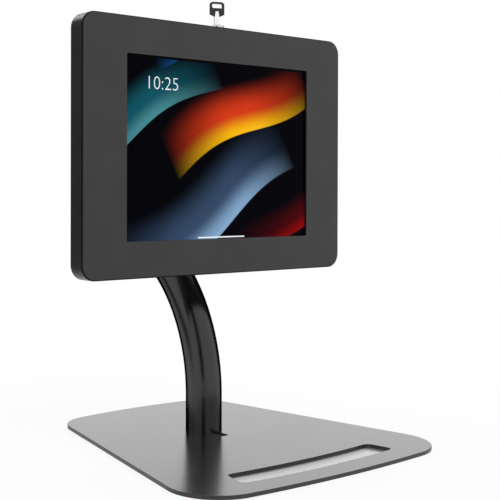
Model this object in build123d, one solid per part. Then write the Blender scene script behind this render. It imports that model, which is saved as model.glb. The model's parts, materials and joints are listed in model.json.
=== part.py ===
from build123d import *
from math import cos, radians, sin, sqrt
import os

# Tablet security kiosk stand, in millimetres.
# +X is the viewer's right, +Y points away from the viewer and +Z is up.
# The origin lies on the desk, under the middle of the stand.

# Clearances that many pieces share, and the overrun of every cut
cut_overrun = 5.0
screw_clearance = 0.12
running_clearance = 0.06
slip_clearance = 0.3
flat_play = 0.1

# Feet and base plate
foot_height = 1.5
foot_radius = 9.0
foot_inset = 32.0
plate_thickness = 3.2
plate_depth = 296.9
plate_front_width = 288.1
plate_back_width = 178.6
plate_front_bow_radius = 1032.0
plate_back_bow_radius = 492.0
plate_front_corner_radius = 42.8
plate_back_corner_radius = 35.0
plate_edge_radius = 0.4

# Long slot near the front edge of the plate
front_slot_length = 166.0
front_slot_width = 26.2
front_slot_margin = 22.3
front_slot_bow_radius = 773.0
front_slot_corner_radius = 6.0

# Arm: a bent steel tube that stands on the plate
tube_radius = 16.75
tube_wall = 2.5
arm_setback = 32.9
arm_foot_straight = 32.8
arm_lower_bend_radius = 150.0
arm_lean_angle = 52.0
arm_middle_straight = 27.5
arm_upper_bend_radius = 50.0
arm_end_straight = 12.0

# Cable slot in the plate, from inside the tube to a point in front of it
cable_slot_width = 8.0
cable_slot_reach = 15.4
cable_slot_corner_radius = 1.5

# Threaded plug in the foot of the tube, and its screws from below
plug_height = 10.0
plug_bore_radius = 5.5
foot_screw_radius = 2.0
foot_screw_circle_radius = 9.7
foot_screw_angles = (0, 90, 180)
foot_screw_head_radius = 3.8
foot_screw_head_height = 2.0
foot_screw_grip = 7.0
foot_screw_socket = 2.5
foot_screw_socket_depth = 1.3

# Head of the arm: an end plate with two ears for the tilt bolt
head_plate_thickness = 4.0
head_bore_radius = 6.0
head_reach = 13.1
ear_radius = 9.0
arm_ear_inner = 9.0
arm_ear_thickness = 4.0

# Tilt bolt, its nut and its washers
bolt_radius = 4.0
bolt_head_width = 13.0
bolt_head_height = 5.3
bolt_socket_width = 6.0
bolt_socket_depth = 3.0
bolt_tail = 1.6
nut_height = 6.5
washer_thickness = 1.0
washer_radius = 8.4

# Tilt bracket: a square plate with two ears, screwed to the tray
bracket_thickness = 2.5
bracket_side = 95.0
bracket_corner_radius = 8.0
bracket_reach = 26.2
bracket_ear_thickness = 3.0
bracket_ear_root = 40.0
bracket_bore_radius = 11.0
bracket_hole_pitch = 75.0
bracket_screw_radius = 2.0
bracket_screw_head_radius = 3.8
bracket_screw_head_height = 2.4
bracket_screw_socket = 2.5
bracket_screw_socket_depth = 1.5
weld_nut_width = 7.0
weld_nut_height = 3.0

# Front cover of the enclosure
enclosure_side_margin = 23.6
enclosure_end_margin = 24.4
enclosure_corner_radius = 13.0
cover_wall = 2.0
cover_face = 2.0
cover_edge_radius = 1.5
window_lap = 0.7
window_corner_radius = 1.5

# Soft strip round the window, on the inside of the cover
gasket_margin = 0.8
gasket_width = 2.6
gasket_thickness = 0.6

# Rear tray
tray_gap = 0.8
tray_floor_thickness = 1.6
tray_wall = 1.5
tray_wall_height = 8.0
lock_notch_width = 24.0

# Rubber ring in the cable hole of the tray
grommet_bore_radius = 9.0
grommet_neck_radius = 12.5
grommet_flange_radius = 15.0
grommet_flange_thickness = 1.5

# Hinge along the bottom of the enclosure
hinge_length = 168.0
hinge_segments = 7
hinge_pin_radius = 0.8
knuckle_radius = 1.7
leaf_thickness = 1.4
leaf_height = 18.0
leaf_corner_radius = 3.0
leaf_screw_height = 11.0
leaf_screw_count = 4
leaf_screw_margin = 16.0

# Small screws of the hinge leaf, the corner brackets and the catch
small_screw_radius = 1.25
small_screw_head_radius = 2.4
small_screw_head_height = 1.3
small_screw_socket = 1.5
small_screw_socket_depth = 0.8
small_screw_bite = 3.0

# Tablet
tablet_width = 250.6
tablet_height = 174.1
tablet_thickness = 7.5
tablet_corner_radius = 12.0
tablet_back_edge_radius = 2.5
tablet_side_wall = 2.5
tablet_back_wall = 1.0
glass_inset = 0.7
glass_thickness = 0.9
display_side_bezel = 19.8
display_end_bezel = 6.7
display_thickness = 1.6
battery_end_margin = 19.0
battery_thickness = 3.0
battery_gap = 4.0
board_side_margin = 19.3
board_width = 28.0
board_thickness = 1.2
chip_side = 14.0
chip_thickness = 1.1

# Buttons of the tablet
button_length = 10.0
button_width = 2.2
button_proud = 0.5
button_depth = 4.2
button_clearance = 0.12
power_button_inset = 47.0
volume_button_inset = 44.3
volume_button_pitch = 13.0
home_button_radius = 5.2
home_button_edge = 10.6
home_button_thickness = 1.6

# Corner brackets and bumpers that carry the tablet
corner_leg = 32.0
corner_wall = 3.0
corner_rim_drop = 1.0
bumper_radius = 8.0
bumper_side_inset = 63.3
bumper_end_inset = 35.0
tablet_rear_space = 6.1

# Lock on the top wall of the cover
lock_flange_radius = 6.8
lock_flange_height = 2.8
lock_flange_edge_radius = 1.9
barrel_radius = 5.0
barrel_length = 13.0
lock_nut_width = 12.0
lock_nut_height = 3.0
plug_radius = 3.8
plug_drop = 1.6
plug_square = 4.4
keyway_depth = 14.5

# Cam under the lock, its screw, and the catch on the tray
cam_thickness = 2.0
cam_hub_radius = 4.0
cam_lobe_width = 6.0
cam_reach = 6.6
cam_tray_gap = 0.5
cam_screw_radius = 1.25
cam_screw_head_radius = 2.6
cam_screw_head_height = 1.6
cam_screw_length = 4.0
catch_thickness = 1.8
catch_side_gap = 0.6
catch_top_gap = 1.3
catch_height = 6.0
catch_base_length = 16.0

# Key
key_turn = 20.0  # degrees from the line of the case's face
blade_width = 5.0
blade_thickness = 1.2
blade_length = 13.5
bit_depth = 0.8
bit_count = 4
key_neck_width = 5.2
key_neck_height = 7.6
key_wedge_height = 5.2
key_wedge_bottom_width = 4.6
key_wedge_top_width = 2.8
bow_width = 13.9
bow_height = 13.6
bow_thickness = 2.0
bow_corner_radius = 3.0
bow_edge_radius = 0.4
bow_slant_height = 2.1
bow_hole_width = 9.8
bow_hole_height = 3.9
bow_hole_drop = 1.8
bow_hole_corner_radius = 1.2

# Heights of the plate
plate_bottom = foot_height
plate_top = plate_bottom + plate_thickness

# Centre line of the arm, in the plane X = 0
lean = radians(arm_lean_angle)
arm_foot = Vector(0, arm_setback, plate_top)
lower_bend_start = arm_foot + Vector(0, 0, arm_foot_straight)
lower_bend_centre = lower_bend_start + Vector(0, arm_lower_bend_radius, 0)
lower_bend_end = lower_bend_centre + Vector(0, -cos(lean), sin(lean)) * arm_lower_bend_radius
upper_bend_start = lower_bend_end + Vector(0, sin(lean), cos(lean)) * arm_middle_straight
upper_bend_centre = upper_bend_start + Vector(0, -cos(lean), sin(lean)) * arm_upper_bend_radius
upper_bend_end = upper_bend_centre + Vector(0, 0, arm_upper_bend_radius)
arm_end = upper_bend_end - Vector(0, arm_end_straight, 0)

# Outline and depth of the enclosure, worked out from the tablet
enclosure_width = tablet_width + 2 * enclosure_side_margin
enclosure_height = tablet_height + 2 * enclosure_end_margin
tablet_front_space = cover_face + gasket_thickness + flat_play
enclosure_depth = tablet_front_space + tablet_thickness + tablet_rear_space + tray_floor_thickness

# Display, and the window in front of it
display_width = tablet_width - 2 * display_side_bezel
display_height = tablet_height - 2 * display_end_bezel
window_width = display_width - 2 * window_lap
window_height = display_height - 2 * window_lap

# Tilt axis, and the upright planes of the enclosure from back to front
tilt_y = arm_end.Y - head_plate_thickness - head_reach
tilt_z = arm_end.Z
bracket_back = tilt_y - bracket_reach
shell_back = bracket_back - bracket_thickness
tray_floor = shell_back - tray_floor_thickness
tray_wall_front = tray_floor - tray_wall_height
shell_front = shell_back - enclosure_depth
cover_inside = shell_front + cover_face
glass_front = shell_front + tablet_front_space
glass_back = glass_front + glass_thickness
tablet_back = glass_front + tablet_thickness
shell_top = tilt_z + enclosure_height / 2
shell_bottom = tilt_z - enclosure_height / 2

# Tray outline
tray_inset = cover_wall + tray_gap
tray_width = enclosure_width - 2 * tray_inset
tray_height = enclosure_height - 2 * tray_inset

# Hinge axis
hinge_y = shell_back + leaf_thickness / 2
hinge_z = shell_bottom + cover_wall / 2
hinge_clear_radius = knuckle_radius + slip_clearance

# Lock axis and heights
lock_y = tray_floor - cam_tray_gap - cam_reach
lock_face = shell_top + lock_flange_height
barrel_bottom = shell_top - barrel_length
cam_top = barrel_bottom - plug_drop
cam_bottom = cam_top - cam_thickness
key_neck_top = lock_face + key_neck_height

# Ears and the tilt bolt, along X
arm_ear_outer = arm_ear_inner + arm_ear_thickness
bracket_ear_inner = arm_ear_outer + washer_thickness + flat_play
bracket_ear_outer = bracket_ear_inner + bracket_ear_thickness
bolt_seat = bracket_ear_outer + washer_thickness + flat_play

# Directions
from_centre = (Align.CENTER, Align.CENTER, Align.MIN)
right = Vector(1, 0, 0)
backward = Vector(0, 1, 0)
forward = Vector(0, -1, 0)
up = Vector(0, 0, 1)
down = Vector(0, 0, -1)
sides = (-1, 1)
corners = [(side_x, side_z) for side_x in sides for side_z in sides]


def joined(shapes):
    total = shapes[0]
    for shape in shapes[1:]:
        total += shape
    return total


def box_between(corner_a, corner_b):
    first = Vector(*corner_a)
    second = Vector(*corner_b)
    size = second - first
    return Pos((first + second) * 0.5) * Box(abs(size.X), abs(size.Y), abs(size.Z))


def rod(start, direction, radius, length):
    return Plane(origin=start, z_dir=direction) * Cylinder(radius, length, align=from_centre)


def ring(start, direction, outer_radius, inner_radius, length):
    return rod(start, direction, outer_radius, length) - rod(start, direction, inner_radius, length)


def through_hole(centre, direction, radius, length):
    start = Vector(*centre) - direction * cut_overrun
    return rod(start, direction, radius, length + 2 * cut_overrun)


def hex_prism(start, direction, width, length):
    across = up if direction.X else right
    outline = RegularPolygon(width / 2, 6, major_radius=False)
    return extrude(Plane(origin=start, x_dir=across, z_dir=direction) * outline, length)


# A screw whose head rests on the seat, and whose shank runs along the direction
def socket_screw(seat, direction, radius, length, head_radius, head_height, socket, socket_depth):
    head_start = seat - direction * head_height
    screw = rod(head_start, direction, head_radius, head_height) + rod(seat, direction, radius, length)
    return screw - hex_prism(head_start, direction, socket, socket_depth)


def small_screw(seat, direction, length):
    return socket_screw(
        seat,
        direction,
        small_screw_radius,
        length,
        small_screw_head_radius,
        small_screw_head_height,
        small_screw_socket,
        small_screw_socket_depth,
    )


# A flat outline, centred on the tilt axis, made solid between two upright planes
def slab(outline, y_front, y_back):
    plane = Plane(origin=(0, y_back, tilt_z), x_dir=(1, 0, 0), z_dir=(0, -1, 0))
    return extrude(plane * outline, y_back - y_front)


def rounded(width, height, radius, inset=0):
    return RectangleRounded(width - 2 * inset, height - 2 * inset, radius - inset)


# Base plate

def bow_depth(radius, half_width):
    return radius - sqrt(radius**2 - half_width**2)


plate_front_y = -plate_depth / 2
plate_back_y = plate_depth / 2
plate_front_corner_y = plate_front_y + bow_depth(plate_front_bow_radius, plate_front_width / 2)
plate_back_corner_y = plate_back_y - bow_depth(plate_back_bow_radius, plate_back_width / 2)
plate_taper = (plate_front_width - plate_back_width) / 2 / (plate_back_corner_y - plate_front_corner_y)


def plate_half_width(y):
    return plate_front_width / 2 - plate_taper * (y - plate_front_corner_y)


def upright_edges(solid):
    return solid.edges().filter_by(Axis.Z).group_by(Axis.Y)


def plate_blank():
    front_half = plate_front_width / 2
    back_half = plate_back_width / 2
    front_left = (-front_half, plate_front_corner_y)
    front_right = (front_half, plate_front_corner_y)
    back_left = (-back_half, plate_back_corner_y)
    back_right = (back_half, plate_back_corner_y)
    outline = make_face([
        ThreePointArc(front_left, (0, plate_front_y), front_right),
        Line(front_right, back_right),
        ThreePointArc(back_right, (0, plate_back_y), back_left),
        Line(back_left, front_left),
    ])
    blank = extrude(Pos(0, 0, plate_bottom) * outline, plate_thickness)
    blank = fillet(upright_edges(blank)[0], plate_front_corner_radius)
    blank = fillet(upright_edges(blank)[-1], plate_back_corner_radius)
    return fillet(blank.edges().group_by(Axis.Z)[-1], plate_edge_radius)


def front_slot():
    near_y = plate_front_y + front_slot_margin
    far_y = near_y + front_slot_width
    near_half = (front_slot_length + plate_taper * front_slot_width) / 2
    far_half = (front_slot_length - plate_taper * front_slot_width) / 2
    near_end_y = near_y + bow_depth(front_slot_bow_radius, near_half)
    far_end_y = far_y + bow_depth(front_slot_bow_radius, far_half)
    outline = make_face([
        ThreePointArc((-near_half, near_end_y), (0, near_y), (near_half, near_end_y)),
        Line((near_half, near_end_y), (far_half, far_end_y)),
        ThreePointArc((far_half, far_end_y), (0, far_y), (-far_half, far_end_y)),
        Line((-far_half, far_end_y), (-near_half, near_end_y)),
    ])
    slot = extrude(Pos(0, 0, plate_bottom - cut_overrun) * outline, plate_thickness + 2 * cut_overrun)
    return fillet(slot.edges().filter_by(Axis.Z), front_slot_corner_radius)


def cable_slot():
    front_y = arm_setback - tube_radius - cable_slot_reach
    back_y = arm_setback + cable_slot_width / 2
    outline = RectangleRounded(cable_slot_width, back_y - front_y, cable_slot_corner_radius)
    middle = Pos(0, (front_y + back_y) / 2, plate_bottom - cut_overrun)
    return extrude(middle * outline, plate_thickness + 2 * cut_overrun)


def foot_screw_places():
    places = []
    for angle in foot_screw_angles:
        turn = radians(angle)
        places.append(Vector(cos(turn), sin(turn), 0) * foot_screw_circle_radius + Vector(0, arm_setback, 0))
    return places


def countersunk(place, extra):
    cone = Cone(foot_screw_head_radius + extra, foot_screw_radius + extra, foot_screw_head_height,
                align=from_centre)
    return Pos(place.X, place.Y, plate_bottom) * cone


def make_base_plate():
    plate = plate_blank() - front_slot() - cable_slot()
    for place in foot_screw_places():
        bottom = Vector(place.X, place.Y, plate_bottom)
        plate -= countersunk(place, screw_clearance)
        plate -= through_hole(bottom, up, foot_screw_radius + screw_clearance, plate_thickness)
    return plate


def make_base_feet():
    feet = []
    for corner_y, inward in ((plate_front_corner_y, 1), (plate_back_corner_y, -1)):
        y = corner_y + inward * foot_inset
        x = plate_half_width(y) - foot_inset
        feet += [rod(Vector(side * x, y, 0), up, foot_radius, foot_height) for side in sides]
    return joined(feet)


# Arm

def arm_path():
    lower_middle = Vector(0, -cos(lean / 2), sin(lean / 2)) * arm_lower_bend_radius
    upper_middle_turn = (lean + radians(-90)) / 2
    upper_middle = Vector(0, cos(upper_middle_turn), -sin(upper_middle_turn)) * arm_upper_bend_radius
    return Wire([
        Line(arm_foot, lower_bend_start),
        ThreePointArc(lower_bend_start, lower_bend_centre + lower_middle, lower_bend_end),
        Line(lower_bend_end, upper_bend_start),
        ThreePointArc(upper_bend_start, upper_bend_centre + upper_middle, upper_bend_end),
        Line(upper_bend_end, arm_end),
    ])


def make_arm_tube():
    section = Circle(tube_radius) - Circle(tube_radius - tube_wall)
    return sweep(Plane(origin=arm_foot, z_dir=(0, 0, 1)) * section, path=arm_path())


def make_foot_plug():
    plug = ring(arm_foot, up, tube_radius - tube_wall - running_clearance, plug_bore_radius, plug_height)
    for place in foot_screw_places():
        plug -= through_hole(Vector(place.X, place.Y, plate_top), up, foot_screw_radius + screw_clearance,
                             foot_screw_grip)
    return plug


def make_foot_screws():
    screws = []
    for place in foot_screw_places():
        bottom = Vector(place.X, place.Y, plate_bottom)
        screw = countersunk(place, 0) + rod(bottom, up, foot_screw_radius, plate_thickness + foot_screw_grip)
        screws.append(screw - hex_prism(bottom, up, foot_screw_socket, foot_screw_socket_depth))
    return joined(screws)


def make_arm_head():
    plate_front = arm_end + forward * head_plate_thickness
    head = rod(arm_end, forward, tube_radius, head_plate_thickness)
    for side in sides:
        head += box_between(
            (side * arm_ear_inner, tilt_y, tilt_z - ear_radius),
            (side * arm_ear_outer, plate_front.Y, tilt_z + ear_radius),
        )
        head += rod(Vector(side * arm_ear_inner, tilt_y, tilt_z), right * side, ear_radius, arm_ear_thickness)
    head -= through_hole(Vector(-arm_ear_outer, tilt_y, tilt_z), right, bolt_radius + running_clearance,
                         2 * arm_ear_outer)
    return head - through_hole(arm_end, forward, head_bore_radius, head_plate_thickness)


# Tilt joint

def make_tilt_bolt():
    head_start = Vector(-bolt_seat - bolt_head_height, tilt_y, tilt_z)
    seat = Vector(-bolt_seat, tilt_y, tilt_z)
    shank_length = 2 * bolt_seat + nut_height + bolt_tail
    bolt = hex_prism(head_start, right, bolt_head_width, bolt_head_height)
    bolt += rod(seat, right, bolt_radius, shank_length)
    return bolt - hex_prism(head_start, right, bolt_socket_width, bolt_socket_depth)


def make_tilt_nut():
    seat = Vector(bolt_seat, tilt_y, tilt_z)
    nut = hex_prism(seat, right, bolt_head_width, nut_height)
    return nut - through_hole(seat, right, bolt_radius + running_clearance, nut_height)


def make_tilt_washers():
    washers = []
    for side in sides:
        for start in (arm_ear_outer, bolt_seat - washer_thickness):
            washers.append(ring(Vector(side * start, tilt_y, tilt_z), right * side, washer_radius,
                                bolt_radius + running_clearance, washer_thickness))
    return joined(washers)


def bracket_screw_places(y):
    half = bracket_hole_pitch / 2
    return [Vector(side_x * half, y, tilt_z + side_z * half) for side_x, side_z in corners]


def bracket_ear(side):
    root = bracket_ear_root / 2
    circle = Pos(tilt_y, tilt_z) * Circle(ear_radius)
    base = Polyline(
        (shell_back, tilt_z - root),
        (bracket_back, tilt_z - root),
        (bracket_back, tilt_z + root),
        (shell_back, tilt_z + root),
        close=True,
    )
    outline = make_hull(ShapeList(circle.edges() + base.edges()))
    inner = bracket_ear_inner if side > 0 else -bracket_ear_outer
    plane = Plane(origin=(inner, 0, 0), x_dir=(0, 1, 0), z_dir=(1, 0, 0))
    return extrude(plane * outline, bracket_ear_thickness)


def make_tilt_bracket():
    bracket = slab(rounded(bracket_side, bracket_side, bracket_corner_radius), shell_back, bracket_back)
    bracket += joined([bracket_ear(side) for side in sides])
    axis_start = Vector(-bracket_ear_outer, tilt_y, tilt_z)
    bracket -= through_hole(axis_start, right, bolt_radius + running_clearance, 2 * bracket_ear_outer)
    bracket -= through_hole(Vector(0, shell_back, tilt_z), backward, bracket_bore_radius, bracket_thickness)
    for place in bracket_screw_places(shell_back):
        bracket -= through_hole(place, backward, bracket_screw_radius + screw_clearance, bracket_thickness)
    return bracket


def make_bracket_screws():
    grip = bracket_thickness + tray_floor_thickness + weld_nut_height
    return joined([
        socket_screw(place, forward, bracket_screw_radius, grip, bracket_screw_head_radius,
                     bracket_screw_head_height, bracket_screw_socket, bracket_screw_socket_depth)
        for place in bracket_screw_places(bracket_back)
    ])


def make_weld_nuts():
    nuts = []
    for place in bracket_screw_places(tray_floor):
        nut = hex_prism(place, forward, weld_nut_width, weld_nut_height)
        nuts.append(nut - through_hole(place, forward, bracket_screw_radius + screw_clearance,
                                       weld_nut_height))
    return joined(nuts)


# Rear tray

def corner_screw_places():
    x = tablet_width / 2 - corner_leg / 2
    z = tablet_height / 2 - corner_leg / 2
    return [Vector(side_x * x, shell_back, tilt_z + side_z * z) for side_x, side_z in corners]


def leaf_screw_places():
    span = hinge_length - 2 * leaf_screw_margin
    step = span / (leaf_screw_count - 1)
    z = hinge_z + leaf_screw_height
    return [Vector(index * step - span / 2, shell_back, z) for index in range(leaf_screw_count)]


# The catch is a hook: a lip in front of the locked cam, a web beside it and a base on the tray
catch_lip_x = cam_hub_radius + catch_side_gap
catch_web_x = cam_reach + catch_side_gap
catch_base_x = catch_web_x + catch_base_length
catch_lip_y = lock_y - cam_lobe_width / 2 - slip_clearance
catch_top = barrel_bottom - catch_top_gap
catch_bottom = catch_top - catch_height
catch_screw_seat = Vector(
    (catch_web_x + catch_thickness + catch_base_x) / 2,
    tray_floor - catch_thickness,
    (catch_top + catch_bottom) / 2,
)


def make_rear_tray():
    outline = rounded(enclosure_width, enclosure_height, enclosure_corner_radius, tray_inset)
    inside = rounded(enclosure_width, enclosure_height, enclosure_corner_radius, tray_inset + tray_wall)
    tray = slab(outline, tray_wall_front, shell_back)
    tray -= slab(inside, tray_wall_front - cut_overrun, tray_floor)
    tray -= box_between(
        (-lock_notch_width / 2, tray_wall_front - cut_overrun, shell_top - tray_inset - tray_wall - slip_clearance),
        (lock_notch_width / 2, tray_floor, shell_top),
    )
    tray -= through_hole(Vector(0, tray_floor, tilt_z), backward, grommet_neck_radius, tray_floor_thickness)
    tray -= rod(Vector(-hinge_length / 2, hinge_y, hinge_z), right, hinge_clear_radius, hinge_length)
    small_hole = small_screw_radius + screw_clearance
    for place in bracket_screw_places(tray_floor):
        tray -= through_hole(place, backward, bracket_screw_radius + screw_clearance, tray_floor_thickness)
    for place in corner_screw_places() + leaf_screw_places():
        tray -= through_hole(place, forward, small_hole, tray_floor_thickness)
    return tray - through_hole(catch_screw_seat, backward, small_hole, tray_floor_thickness)


def make_cable_grommet():
    flange_start = Vector(0, tray_floor, tilt_z)
    grommet = rod(flange_start, forward, grommet_flange_radius, grommet_flange_thickness)
    grommet += rod(flange_start, backward, grommet_neck_radius - running_clearance, tray_floor_thickness)
    return grommet - through_hole(flange_start, forward, grommet_bore_radius, grommet_flange_thickness)


def make_lock_catch():
    catch = box_between(
        (catch_lip_x, catch_lip_y - catch_thickness, catch_bottom),
        (catch_web_x + catch_thickness, catch_lip_y, catch_top),
    )
    catch += box_between(
        (catch_web_x, catch_lip_y - catch_thickness, catch_bottom),
        (catch_web_x + catch_thickness, tray_floor, catch_top),
    )
    catch += box_between(
        (catch_web_x, tray_floor - catch_thickness, catch_bottom),
        (catch_base_x, tray_floor, catch_top),
    )
    return catch - through_hole(catch_screw_seat, backward, small_screw_radius + screw_clearance,
                                catch_thickness)


def make_catch_screw():
    return small_screw(catch_screw_seat, backward, catch_thickness + tray_floor_thickness)


def make_corner_screws():
    return joined([
        small_screw(place, forward, tray_floor_thickness + small_screw_bite)
        for place in corner_screw_places()
    ])


# Hinge

segment_length = hinge_length / hinge_segments


def hinge_segment_start(index):
    return index * segment_length - hinge_length / 2


def knuckle(index):
    start = Vector(hinge_segment_start(index) + slip_clearance / 2, hinge_y, hinge_z)
    return rod(start, right, knuckle_radius, segment_length - slip_clearance)


def pin_bore():
    start = Vector(-hinge_length / 2, hinge_y, hinge_z)
    return through_hole(start, right, hinge_pin_radius + running_clearance, hinge_length)


def make_hinge_leaf():
    leaf_back = shell_back + leaf_thickness
    leaf = box_between(
        (-hinge_length / 2, shell_back, hinge_z + hinge_clear_radius),
        (hinge_length / 2, leaf_back, hinge_z + leaf_height),
    )
    top_edges = leaf.edges().filter_by(Axis.Y).group_by(Axis.Z)[-1]
    leaf = fillet(top_edges, leaf_corner_radius)
    for index in range(0, hinge_segments, 2):
        start = hinge_segment_start(index)
        leaf += box_between(
            (start + slip_clearance / 2, shell_back, hinge_z),
            (start + segment_length - slip_clearance / 2, leaf_back, hinge_z + hinge_clear_radius),
        )
        leaf += knuckle(index)
    for place in leaf_screw_places():
        leaf -= through_hole(place, backward, small_screw_radius + screw_clearance, leaf_thickness)
    return leaf - pin_bore()


def make_leaf_screws():
    grip = leaf_thickness + tray_floor_thickness + small_screw_bite / 2
    return joined([small_screw(place + backward * leaf_thickness, forward, grip)
                   for place in leaf_screw_places()])


def make_hinge_pin():
    return rod(Vector(-hinge_length / 2, hinge_y, hinge_z), right, hinge_pin_radius, hinge_length)


# Front cover

def make_front_cover():
    cover = slab(rounded(enclosure_width, enclosure_height, enclosure_corner_radius), shell_front, shell_back)
    front_edges = cover.edges().group_by(Axis.Y)[0]
    cover = fillet(front_edges, cover_edge_radius)
    cover -= slab(
        rounded(enclosure_width, enclosure_height, enclosure_corner_radius, cover_wall),
        cover_inside,
        shell_back + cut_overrun,
    )
    cover -= slab(
        rounded(window_width, window_height, window_corner_radius),
        shell_front - cut_overrun,
        cover_inside + cut_overrun,
    )
    cover -= through_hole(Vector(0, lock_y, shell_top), down, barrel_radius + screw_clearance, cover_wall)
    for index in range(hinge_segments):
        start = Vector(hinge_segment_start(index), hinge_y, hinge_z)
        cover -= rod(start, right, hinge_clear_radius, segment_length)
    for index in range(1, hinge_segments, 2):
        start = hinge_segment_start(index)
        cover += box_between(
            (start + slip_clearance / 2, shell_back - hinge_clear_radius, shell_bottom),
            (start + segment_length - slip_clearance / 2, hinge_y, shell_bottom + cover_wall),
        )
        cover += knuckle(index)
    return cover - pin_bore()


def make_window_gasket():
    inner = gasket_margin
    outer = gasket_margin + gasket_width
    strip = rounded(window_width, window_height, window_corner_radius, -outer)
    strip -= rounded(window_width, window_height, window_corner_radius, -inner)
    return slab(strip, cover_inside, cover_inside + gasket_thickness)


# Tablet

button_y = glass_front + button_depth
tablet_top = tilt_z + tablet_height / 2
tablet_left = -tablet_width / 2
power_button_z = tablet_top - power_button_inset
volume_up_x = tablet_left + volume_button_inset + volume_button_pitch
volume_down_x = tablet_left + volume_button_inset


def power_button_solid(extra):
    return box_between(
        (
            tablet_left - button_proud,
            button_y - button_width / 2 - extra,
            power_button_z - button_length / 2 - extra,
        ),
        (
            tablet_left + tablet_side_wall,
            button_y + button_width / 2 + extra,
            power_button_z + button_length / 2 + extra,
        ),
    )


def volume_button_solid(x, extra):
    return box_between(
        (x - button_length / 2 - extra, button_y - button_width / 2 - extra, tablet_top + button_proud),
        (x + button_length / 2 + extra, button_y + button_width / 2 + extra, tablet_top - tablet_side_wall),
    )


home_button_centre = Vector(tablet_width / 2 - home_button_edge, glass_front, tilt_z)


def make_home_button():
    return rod(home_button_centre, backward, home_button_radius, home_button_thickness)


def make_tablet_body():
    body = slab(rounded(tablet_width, tablet_height, tablet_corner_radius), glass_front, tablet_back)
    back_edges = body.edges().group_by(Axis.Y)[-1]
    body = fillet(back_edges, tablet_back_edge_radius)
    body -= slab(
        rounded(tablet_width, tablet_height, tablet_corner_radius, glass_inset),
        glass_front - cut_overrun,
        glass_back,
    )
    body -= slab(
        rounded(tablet_width, tablet_height, tablet_corner_radius, tablet_side_wall),
        glass_front,
        tablet_back - tablet_back_wall,
    )
    body -= power_button_solid(button_clearance)
    for x in (volume_up_x, volume_down_x):
        body -= volume_button_solid(x, button_clearance)
    return body


def make_tablet_glass():
    outline = rounded(tablet_width, tablet_height, tablet_corner_radius, glass_inset + running_clearance)
    glass = slab(outline, glass_front, glass_back)
    return glass - through_hole(home_button_centre, backward, home_button_radius + button_clearance,
                                glass_thickness)


def make_display_panel():
    return slab(Rectangle(display_width, display_height), glass_back, glass_back + display_thickness)


board_right = tablet_width / 2 - board_side_margin
battery_width = board_right - board_width - 1.5 * battery_gap
battery_height = tablet_height - 2 * battery_end_margin


def make_battery_cells():
    back = tablet_back - tablet_back_wall
    offset = (battery_width + battery_gap) / 2
    return joined([
        slab(Pos(side * offset, 0) * Rectangle(battery_width, battery_height), back - battery_thickness, back)
        for side in sides
    ])


def make_logic_board():
    back = tablet_back - tablet_back_wall
    x = board_right - board_width / 2
    front = back - board_thickness
    board = slab(Pos(x, 0) * Rectangle(board_width, battery_height), front, back)
    chip_step = battery_height / 3
    for index in (-1, 0, 1):
        chip = Pos(x, index * chip_step) * Rectangle(chip_side, chip_side)
        board += slab(chip, front - chip_thickness, front)
    return board


def make_corner_brackets():
    rim_front = glass_front + corner_rim_drop
    outer = rounded(tablet_width, tablet_height, tablet_corner_radius, -slip_clearance - corner_wall)
    pocket = rounded(tablet_width, tablet_height, tablet_corner_radius, -slip_clearance)
    frame = slab(outer, rim_front, tray_floor) - slab(pocket, rim_front - cut_overrun, tablet_back)
    half_x = tablet_width / 2 + slip_clearance + corner_wall
    half_z = tablet_height / 2 + slip_clearance + corner_wall
    brackets = []
    for side_x, side_z in corners:
        brackets.append(frame & box_between(
            (side_x * (half_x - corner_leg), rim_front, tilt_z + side_z * (half_z - corner_leg)),
            (side_x * (half_x + cut_overrun), tray_floor, tilt_z + side_z * (half_z + cut_overrun)),
        ))
    brackets = joined(brackets)
    for place in corner_screw_places():
        seat = Vector(place.X, tray_floor, place.Z)
        brackets -= rod(seat, forward, small_screw_radius + screw_clearance, small_screw_bite + slip_clearance)
    return brackets


def make_tablet_bumpers():
    x = tablet_width / 2 - bumper_side_inset
    z = tablet_height / 2 - bumper_end_inset
    return joined([
        rod(Vector(side_x * x, tray_floor, tilt_z + side_z * z), forward, bumper_radius, tablet_rear_space)
        for side_x, side_z in corners
    ])


# Lock

def make_lock_barrel():
    flange = rod(Vector(0, lock_y, shell_top), up, lock_flange_radius, lock_flange_height)
    rim = flange.edges().group_by(Axis.Z)[-1]
    flange = fillet(rim, lock_flange_edge_radius)
    barrel = flange + rod(Vector(0, lock_y, shell_top), down, barrel_radius, barrel_length)
    bore_length = lock_flange_height + barrel_length
    return barrel - through_hole(Vector(0, lock_y, lock_face), down, plug_radius + running_clearance,
                                 bore_length)


def make_lock_nut():
    seat = Vector(0, lock_y, shell_top - cover_wall)
    nut = hex_prism(seat, down, lock_nut_width, lock_nut_height)
    return nut - through_hole(seat, down, barrel_radius + screw_clearance, lock_nut_height)


def turned_in_lock(piece):
    return Pos(0, lock_y, 0) * Rot(0, 0, -key_turn) * Pos(0, -lock_y, 0) * piece


def square_bar(width, z_low, z_high):
    return box_between((-width / 2, lock_y - width / 2, z_low), (width / 2, lock_y + width / 2, z_high))


def make_lock_plug():
    plug = rod(Vector(0, lock_y, cam_top), up, plug_radius, lock_face - cam_top)
    plug += square_bar(plug_square, cam_bottom, cam_top)
    keyway_x = blade_width / 2 + slip_clearance / 2
    keyway_y = blade_thickness / 2 + slip_clearance / 2
    plug -= turned_in_lock(box_between(
        (-keyway_x, lock_y - keyway_y, lock_face - keyway_depth),
        (keyway_x, lock_y + keyway_y, lock_face + cut_overrun),
    ))
    screw_end = Vector(0, lock_y, cam_bottom)
    return plug - rod(screw_end, up, cam_screw_radius + screw_clearance, cam_screw_length + slip_clearance)


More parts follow.
